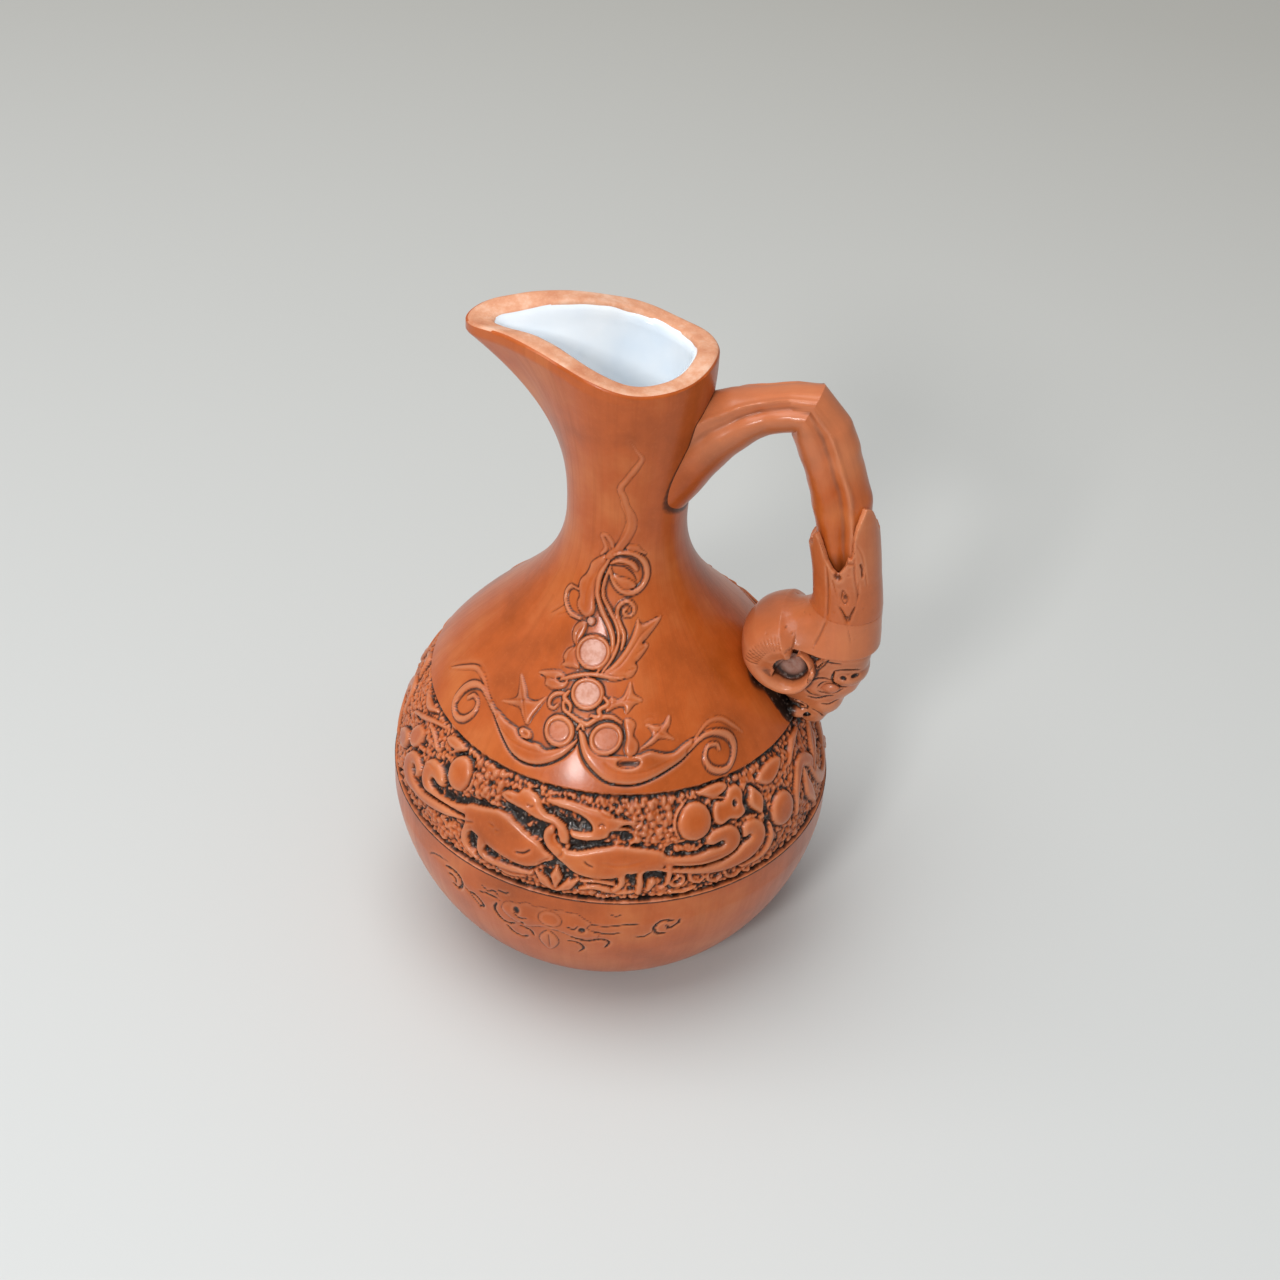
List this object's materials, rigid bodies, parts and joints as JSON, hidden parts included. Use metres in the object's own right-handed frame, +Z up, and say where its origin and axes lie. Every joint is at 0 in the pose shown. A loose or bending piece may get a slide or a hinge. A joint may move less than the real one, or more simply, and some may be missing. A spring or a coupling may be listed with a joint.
{
  "type": "wine jug",
  "caption": "Earthenware wine jug with a globular body, relief frieze, pouring lip and a ribbed handle seated on a ram's head, for holding and pouring wine.",
  "frame": {"origin": "centre of the flat foot, where the jug rests", "axes": "+Z up along the turned body's axis, +X toward the handle, -X toward the pouring lip, -Y toward the front ornament"},
  "size_m": [0.1512, 0.141, 0.2152],
  "materials": {
    "clay_body": "satin",
    "clay_head": "satin",
    "clay_relief": "satin",
    "white_glaze": "gloss"
  },
  "bodies": {
    "root": {"belly": "clay_body", "neck_spout": "clay_body", "handle": "clay_body", "glaze_lining": "white_glaze", "leaf_cuff": "clay_head", "ram_head": "clay_head", "ram_horn_near": "clay_head", "ram_horn_far": "clay_head", "ram_eye_near": "clay_head", "ram_eye_far": "clay_head", "front_stag_left": "clay_relief", "front_stag_right": "clay_relief", "front_stag_head_left": "clay_relief", "front_stag_head_right": "clay_relief", "front_leaf_band_left": "clay_relief", "front_leaf_band_right": "clay_relief", "front_pomegranate_left": "clay_relief", "front_pomegranate_right": "clay_relief", "front_pomegranate_far": "clay_relief", "front_grapes_left": "clay_relief", "front_grapes_right": "clay_relief", "front_lotus": "clay_relief", "front_vine_far": "clay_relief", "front_tendril": "clay_relief", "front_volute": "clay_relief", "front_leaf_left": "clay_relief", "front_leaf_right": "clay_relief", "front_disc_upper": "clay_relief", "front_leafy_disc": "clay_relief", "front_lily": "clay_relief", "front_blossom": "clay_relief", "front_scroll_left": "clay_relief", "front_roundel_left": "clay_relief", "front_scroll_right": "clay_relief", "front_roundel_right": "clay_relief", "back_stag_left": "clay_relief", "back_stag_right": "clay_relief", "back_stag_head_left": "clay_relief", "back_stag_head_right": "clay_relief", "back_leaf_band_left": "clay_relief", "back_leaf_band_right": "clay_relief", "back_pomegranate_left": "clay_relief", "back_pomegranate_right": "clay_relief", "back_pomegranate_far": "clay_relief", "back_grapes_left": "clay_relief", "back_grapes_right": "clay_relief", "back_lotus": "clay_relief", "back_vine_far": "clay_relief", "back_tendril": "clay_relief", "back_volute": "clay_relief", "back_leaf_left": "clay_relief", "back_leaf_right": "clay_relief", "back_disc_upper": "clay_relief", "back_leafy_disc": "clay_relief", "back_lily": "clay_relief", "back_blossom": "clay_relief", "back_scroll_left": "clay_relief", "back_roundel_left": "clay_relief", "back_scroll_right": "clay_relief", "back_roundel_right": "clay_relief"}
  },
  "joints": []
}
